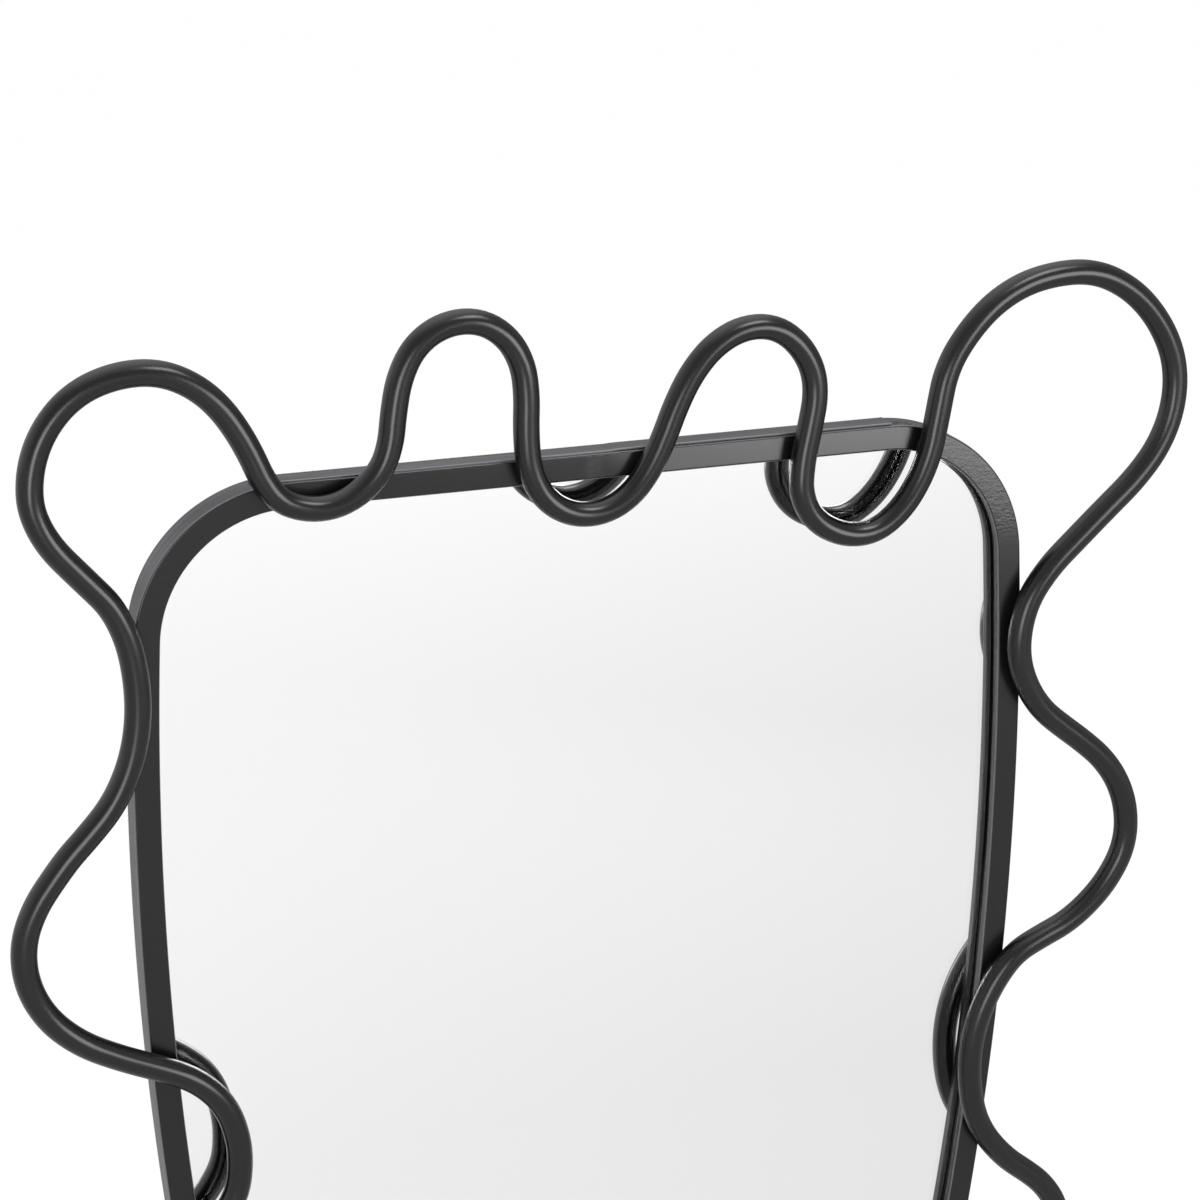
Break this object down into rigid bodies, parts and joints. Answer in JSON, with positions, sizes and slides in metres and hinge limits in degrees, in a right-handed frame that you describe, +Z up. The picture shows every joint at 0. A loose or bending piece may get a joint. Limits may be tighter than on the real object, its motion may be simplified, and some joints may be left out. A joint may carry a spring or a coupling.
{
  "type": "wall mirror",
  "caption": "Wall mirror in a rounded, tapering black frame of rectangular tube, with a round tube waving over its front all the way round.",
  "frame": {"origin": "centre of the whole mirror's box", "axes": "+Z up along the mirror's height, +Y from the glass towards the wall, +X to the right as seen from the front; the glass faces -Y"},
  "size_m": [0.77, 0.0463, 1.022],
  "materials": {
    "powder_coat": "satin black powder coat with a fine grain",
    "clear_glass": "polished clear glass with a slight green tint",
    "silvering": "silver layer behind the glass",
    "tape": "closed-cell foam tape",
    "fibreboard": "bare medium-density fibreboard",
    "screw_steel": "bright zinc plate",
    "hanger_steel": "zinc-plated sheet",
    "ring_steel": "bright nickel plate",
    "rubber": "matt moulded rubber"
  },
  "bodies": {
    "mirror": {"frame_left": "powder_coat", "frame_right": "powder_coat", "seam_weld_top": "powder_coat", "seam_weld_bottom": "powder_coat", "top_strip": "powder_coat", "strip_weld_end": "powder_coat", "strip_welds_back": "powder_coat", "wave_left_upper": "powder_coat", "wave_left_ear": "powder_coat", "wave_top_left": "powder_coat", "wave_top_right": "powder_coat", "wave_right_ear": "powder_coat", "wave_right_side": "powder_coat", "wave_right_lower": "powder_coat", "wave_bottom_right": "powder_coat", "wave_bottom_left": "powder_coat", "wave_left_lower_ear": "powder_coat", "wave_left_lower": "powder_coat", "wave_welds": "powder_coat", "board_tab_1": "powder_coat", "board_tab_2": "powder_coat", "board_tab_3": "powder_coat", "board_tab_4": "powder_coat", "board_tab_5": "powder_coat", "board_tab_6": "powder_coat", "board_tab_7": "powder_coat", "board_tab_8": "powder_coat", "tab_welds": "powder_coat", "mirror_glass": "clear_glass", "silvered_back": "silvering", "mounting_tape": "tape", "backing_board": "fibreboard", "tab_screws": "screw_steel", "hanger_screws": "screw_steel", "hanger_strap_left": "hanger_steel", "bumper_upper_left": "rubber", "bumper_lower_left": "rubber", "hanger_strap_right": "hanger_steel", "bumper_upper_right": "rubber", "bumper_lower_right": "rubber"},
    "ring_left": {"hanger_ring_left": "ring_steel"},
    "ring_right": {"hanger_ring_right": "ring_steel"}
  },
  "joints": [
    {"name": "ring_left_swing", "type": "hinge", "parent": "mirror", "child": "ring_left", "pos_m": [-0.29507, 0.01815, 0.16268], "axis": [1, 0, 0], "range_deg": [0, 180]},
    {"name": "ring_right_swing", "type": "hinge", "parent": "mirror", "child": "ring_right", "pos_m": [0.26874, 0.01815, 0.16268], "axis": [1, 0, 0], "range_deg": [0, 180]}
  ]
}
